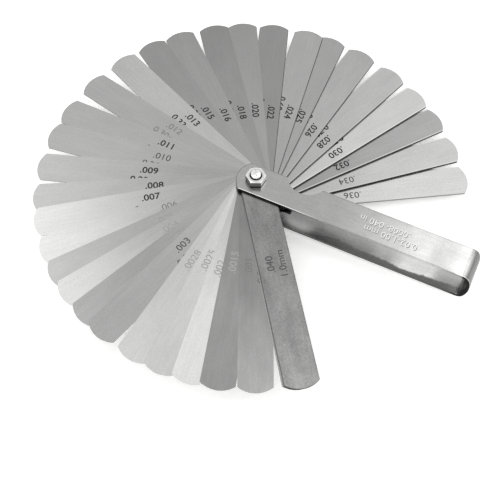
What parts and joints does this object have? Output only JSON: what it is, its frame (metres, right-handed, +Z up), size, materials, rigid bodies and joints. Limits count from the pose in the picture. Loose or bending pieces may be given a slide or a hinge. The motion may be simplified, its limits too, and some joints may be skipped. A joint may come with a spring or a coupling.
{
  "type": "feeler gauge",
  "caption": "Folding thickness gauge: a fan of graded steel leaves on a screw pivot, folding sideways into a bent steel strap handle with a thumb notch.",
  "frame": {"origin": "on the pivot axis, at the underside of the screw head", "axes": "+Z up the pivot axis from the screw head to the nut; +X from the pivot along the handle to its closed end; +Y towards the side with the thumb notch"},
  "size_m": [0.177, 0.1732, 0.0224],
  "materials": {
    "handle_steel": "satin, plated strip",
    "leaf_steel": "rolled spring steel with fine grinding lines",
    "fastener_steel": "bright plated"
  },
  "bodies": {
    "handle": {"handle": "handle_steel"},
    "leaf_036": {"leaf_036": "leaf_steel"},
    "leaf_034": {"leaf_034": "leaf_steel"},
    "leaf_032": {"leaf_032": "leaf_steel"},
    "leaf_030": {"leaf_030": "leaf_steel"},
    "leaf_028": {"leaf_028": "leaf_steel"},
    "leaf_026": {"leaf_026": "leaf_steel"},
    "leaf_025": {"leaf_025": "leaf_steel"},
    "leaf_024": {"leaf_024": "leaf_steel"},
    "leaf_022": {"leaf_022": "leaf_steel"},
    "leaf_020": {"leaf_020": "leaf_steel"},
    "leaf_018": {"leaf_018": "leaf_steel"},
    "leaf_016": {"leaf_016": "leaf_steel"},
    "leaf_015": {"leaf_015": "leaf_steel"},
    "leaf_013": {"leaf_013": "leaf_steel"},
    "leaf_012": {"leaf_012": "leaf_steel"},
    "leaf_011": {"leaf_011": "leaf_steel"},
    "leaf_010": {"leaf_010": "leaf_steel"},
    "leaf_009": {"leaf_009": "leaf_steel"},
    "leaf_008": {"leaf_008": "leaf_steel"},
    "leaf_007": {"leaf_007": "leaf_steel"},
    "leaf_006": {"leaf_006": "leaf_steel"},
    "leaf_005": {"leaf_005": "leaf_steel"},
    "leaf_004": {"leaf_004": "leaf_steel"},
    "leaf_0035": {"leaf_0035": "leaf_steel"},
    "leaf_003": {"leaf_003": "leaf_steel"},
    "leaf_0028": {"leaf_0028": "leaf_steel"},
    "leaf_0025": {"leaf_0025": "leaf_steel"},
    "leaf_002": {"leaf_002": "leaf_steel"},
    "leaf_0015": {"leaf_0015": "leaf_steel"},
    "leaf_001": {"leaf_001": "leaf_steel"},
    "leaf_0008": {"leaf_0008": "leaf_steel"},
    "leaf_040": {"leaf_040": "leaf_steel"},
    "pivot_screw": {"pivot_screw": "fastener_steel"},
    "nut": {"nut": "fastener_steel"}
  },
  "joints": [
    {"name": "screw_turn", "type": "hinge", "parent": "handle", "child": "pivot_screw", "pos_m": [0, 0, 0], "axis": [0, 0, -1], "range_deg": [0, 360]},
    {"name": "nut_travel", "type": "slide", "parent": "handle", "child": "nut", "axis": [0, 0, 1], "range_m": [0, 0.0007]},
    {"name": "leaf_036_swing", "type": "hinge", "parent": "handle", "child": "leaf_036", "pos_m": [0, 0, 0.01], "axis": [0, 0, 1], "range_deg": [-31, 329]},
    {"name": "leaf_034_swing", "type": "hinge", "parent": "handle", "child": "leaf_034", "pos_m": [0, 0, 0.01], "axis": [0, 0, 1], "range_deg": [-41, 319]},
    {"name": "leaf_032_swing", "type": "hinge", "parent": "handle", "child": "leaf_032", "pos_m": [0, 0, 0.01], "axis": [0, 0, 1], "range_deg": [-51.5, 308.5]},
    {"name": "leaf_030_swing", "type": "hinge", "parent": "handle", "child": "leaf_030", "pos_m": [0, 0, 0.01], "axis": [0, 0, 1], "range_deg": [-60.5, 299.5]},
    {"name": "leaf_028_swing", "type": "hinge", "parent": "handle", "child": "leaf_028", "pos_m": [0, 0, 0.01], "axis": [0, 0, 1], "range_deg": [-70.5, 289.5]},
    {"name": "leaf_026_swing", "type": "hinge", "parent": "handle", "child": "leaf_026", "pos_m": [0, 0, 0.01], "axis": [0, 0, 1], "range_deg": [-81.5, 278.5]},
    {"name": "leaf_025_swing", "type": "hinge", "parent": "handle", "child": "leaf_025", "pos_m": [0, 0, 0.01], "axis": [0, 0, 1], "range_deg": [-91.5, 268.5]},
    {"name": "leaf_024_swing", "type": "hinge", "parent": "handle", "child": "leaf_024", "pos_m": [0, 0, 0.01], "axis": [0, 0, 1], "range_deg": [-98.5, 261.5]},
    {"name": "leaf_022_swing", "type": "hinge", "parent": "handle", "child": "leaf_022", "pos_m": [0, 0, 0.01], "axis": [0, 0, 1], "range_deg": [-109, 251]},
    {"name": "leaf_020_swing", "type": "hinge", "parent": "handle", "child": "leaf_020", "pos_m": [0, 0, 0.01], "axis": [0, 0, 1], "range_deg": [-118.5, 241.5]},
    {"name": "leaf_018_swing", "type": "hinge", "parent": "handle", "child": "leaf_018", "pos_m": [0, 0, 0.01], "axis": [0, 0, 1], "range_deg": [-127, 233]},
    {"name": "leaf_016_swing", "type": "hinge", "parent": "handle", "child": "leaf_016", "pos_m": [0, 0, 0.01], "axis": [0, 0, 1], "range_deg": [-137.5, 222.5]},
    {"name": "leaf_015_swing", "type": "hinge", "parent": "handle", "child": "leaf_015", "pos_m": [0, 0, 0.01], "axis": [0, 0, 1], "range_deg": [-146.5, 213.5]},
    {"name": "leaf_013_swing", "type": "hinge", "parent": "handle", "child": "leaf_013", "pos_m": [0, 0, 0.01], "axis": [0, 0, 1], "range_deg": [-156.5, 203.5]},
    {"name": "leaf_012_swing", "type": "hinge", "parent": "handle", "child": "leaf_012", "pos_m": [0, 0, 0.01], "axis": [0, 0, 1], "range_deg": [-168, 192]},
    {"name": "leaf_011_swing", "type": "hinge", "parent": "handle", "child": "leaf_011", "pos_m": [0, 0, 0.01], "axis": [0, 0, 1], "range_deg": [-179.5, 180.5]},
    {"name": "leaf_010_swing", "type": "hinge", "parent": "handle", "child": "leaf_010", "pos_m": [0, 0, 0.01], "axis": [0, 0, 1], "range_deg": [-188.5, 171.5]},
    {"name": "leaf_009_swing", "type": "hinge", "parent": "handle", "child": "leaf_009", "pos_m": [0, 0, 0.01], "axis": [0, 0, 1], "range_deg": [-199, 161]},
    {"name": "leaf_008_swing", "type": "hinge", "parent": "handle", "child": "leaf_008", "pos_m": [0, 0, 0.01], "axis": [0, 0, 1], "range_deg": [-209, 151]},
    {"name": "leaf_007_swing", "type": "hinge", "parent": "handle", "child": "leaf_007", "pos_m": [0, 0, 0.01], "axis": [0, 0, 1], "range_deg": [-216.5, 143.5]},
    {"name": "leaf_006_swing", "type": "hinge", "parent": "handle", "child": "leaf_006", "pos_m": [0, 0, 0.01], "axis": [0, 0, 1], "range_deg": [-225.5, 134.5]},
    {"name": "leaf_005_swing", "type": "hinge", "parent": "handle", "child": "leaf_005", "pos_m": [0, 0, 0.01], "axis": [0, 0, 1], "range_deg": [-233, 127]},
    {"name": "leaf_004_swing", "type": "hinge", "parent": "handle", "child": "leaf_004", "pos_m": [0, 0, 0.01], "axis": [0, 0, 1], "range_deg": [-239.5, 120.5]},
    {"name": "leaf_0035_swing", "type": "hinge", "parent": "handle", "child": "leaf_0035", "pos_m": [0, 0, 0.01], "axis": [0, 0, 1], "range_deg": [-247, 113]},
    {"name": "leaf_003_swing", "type": "hinge", "parent": "handle", "child": "leaf_003", "pos_m": [0, 0, 0.01], "axis": [0, 0, 1], "range_deg": [-253.5, 106.5]},
    {"name": "leaf_0028_swing", "type": "hinge", "parent": "handle", "child": "leaf_0028", "pos_m": [0, 0, 0.01], "axis": [0, 0, 1], "range_deg": [-263.5, 96.5]},
    {"name": "leaf_0025_swing", "type": "hinge", "parent": "handle", "child": "leaf_0025", "pos_m": [0, 0, 0.01], "axis": [0, 0, 1], "range_deg": [-271, 89]},
    {"name": "leaf_002_swing", "type": "hinge", "parent": "handle", "child": "leaf_002", "pos_m": [0, 0, 0.01], "axis": [0, 0, 1], "range_deg": [-278.5, 81.5]},
    {"name": "leaf_0015_swing", "type": "hinge", "parent": "handle", "child": "leaf_0015", "pos_m": [0, 0, 0.01], "axis": [0, 0, 1], "range_deg": [-285.5, 74.5]},
    {"name": "leaf_001_swing", "type": "hinge", "parent": "handle", "child": "leaf_001", "pos_m": [0, 0, 0.01], "axis": [0, 0, 1], "range_deg": [-294.5, 65.5]},
    {"name": "leaf_0008_swing", "type": "hinge", "parent": "handle", "child": "leaf_0008", "pos_m": [0, 0, 0.01], "axis": [0, 0, 1], "range_deg": [-305, 55]},
    {"name": "leaf_040_swing", "type": "hinge", "parent": "handle", "child": "leaf_040", "pos_m": [0, 0, 0.01], "axis": [0, 0, 1], "range_deg": [-305.5, 54.5]}
  ],
  "couplings": [
    {"joint": "screw_turn", "follows": "nut_travel", "rad_per_m": 8975.9}
  ]
}
